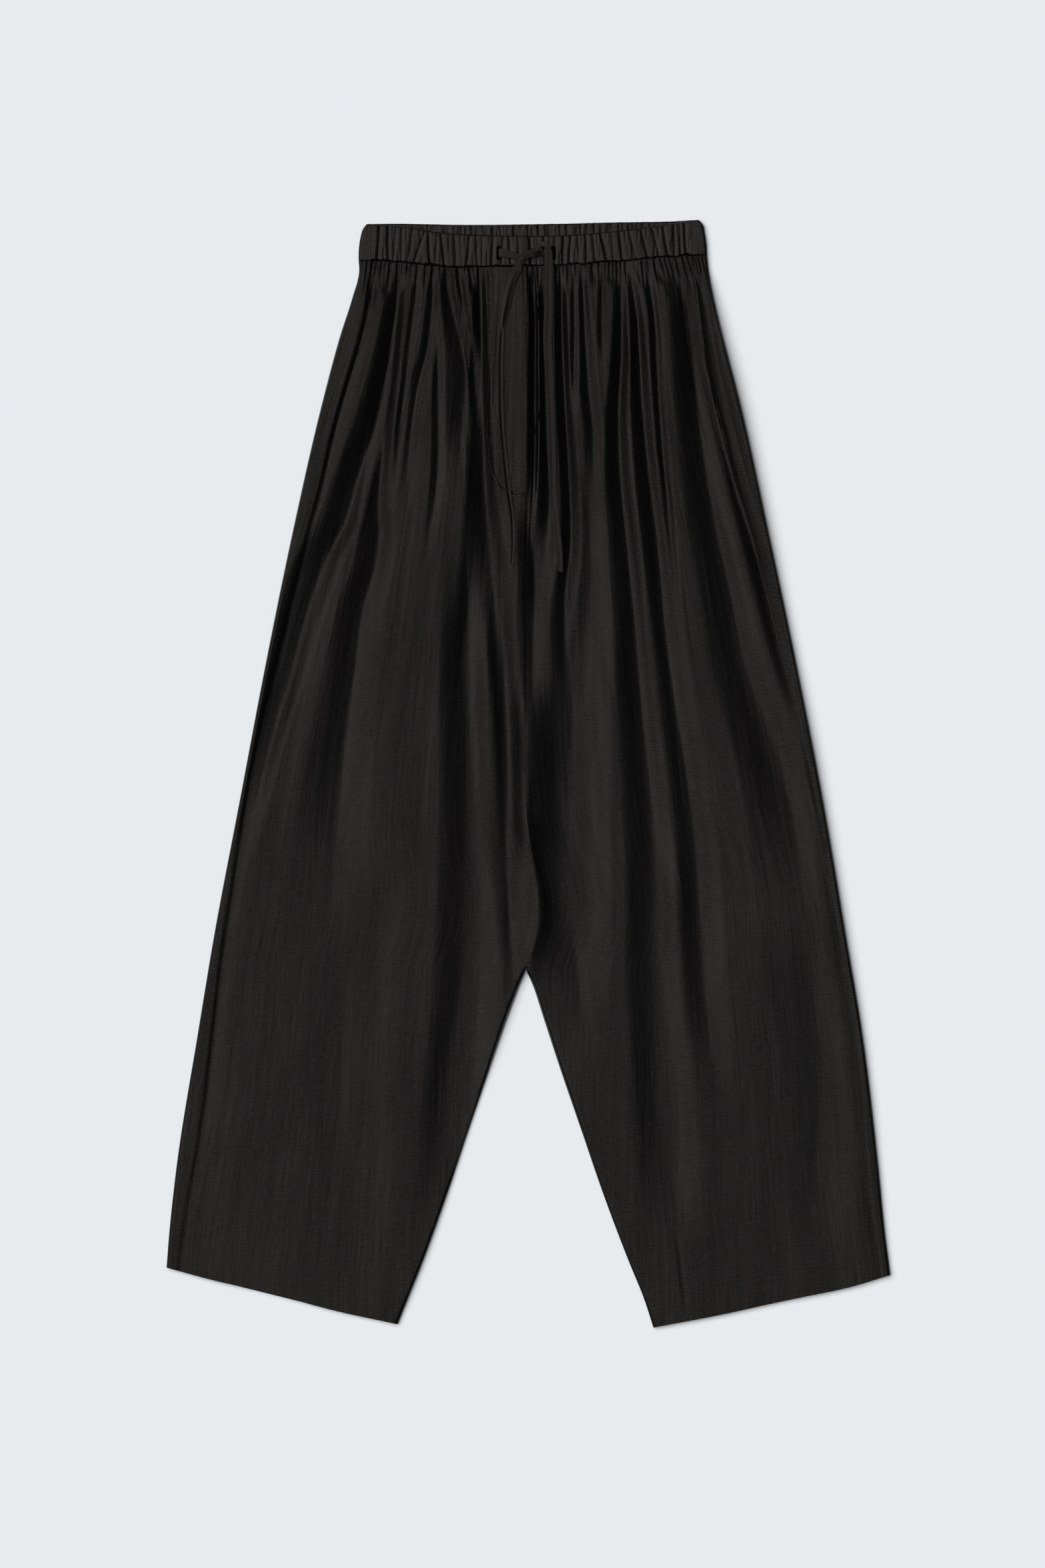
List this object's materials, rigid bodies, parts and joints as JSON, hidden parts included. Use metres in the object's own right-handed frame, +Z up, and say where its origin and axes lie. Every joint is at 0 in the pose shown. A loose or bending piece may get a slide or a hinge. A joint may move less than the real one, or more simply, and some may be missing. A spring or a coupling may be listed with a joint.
{
  "type": "maxi pants",
  "caption": "Long wide-leg pants with a gathered elastic waistband, a flat drawstring and a mock fly, laid flat with the front up.",
  "frame": {"origin": "middle of the bounding box on the surface that the pants lie on", "axes": "+X to the wearer's left, +Y to the waist, +Z up out of the front"},
  "size_m": [0.706, 1.0794, 0.0161],
  "materials": {
    "front_cloth": "black satiny crinkled cloth",
    "back_cloth": "black satiny crinkled cloth",
    "band_cloth": "black satiny cloth, ruched",
    "placket_cloth": "black satiny crinkled cloth",
    "tape_cloth": "black satiny cloth, folded flat"
  },
  "bodies": {
    "root": {"front_right": "front_cloth", "front_left": "front_cloth", "back_right": "back_cloth", "back_left": "back_cloth", "waistband_front": "band_cloth", "waistband_back": "band_cloth", "fly_placket": "placket_cloth", "drawstring_to_right": "tape_cloth", "drawstring_to_left": "tape_cloth"}
  },
  "joints": []
}
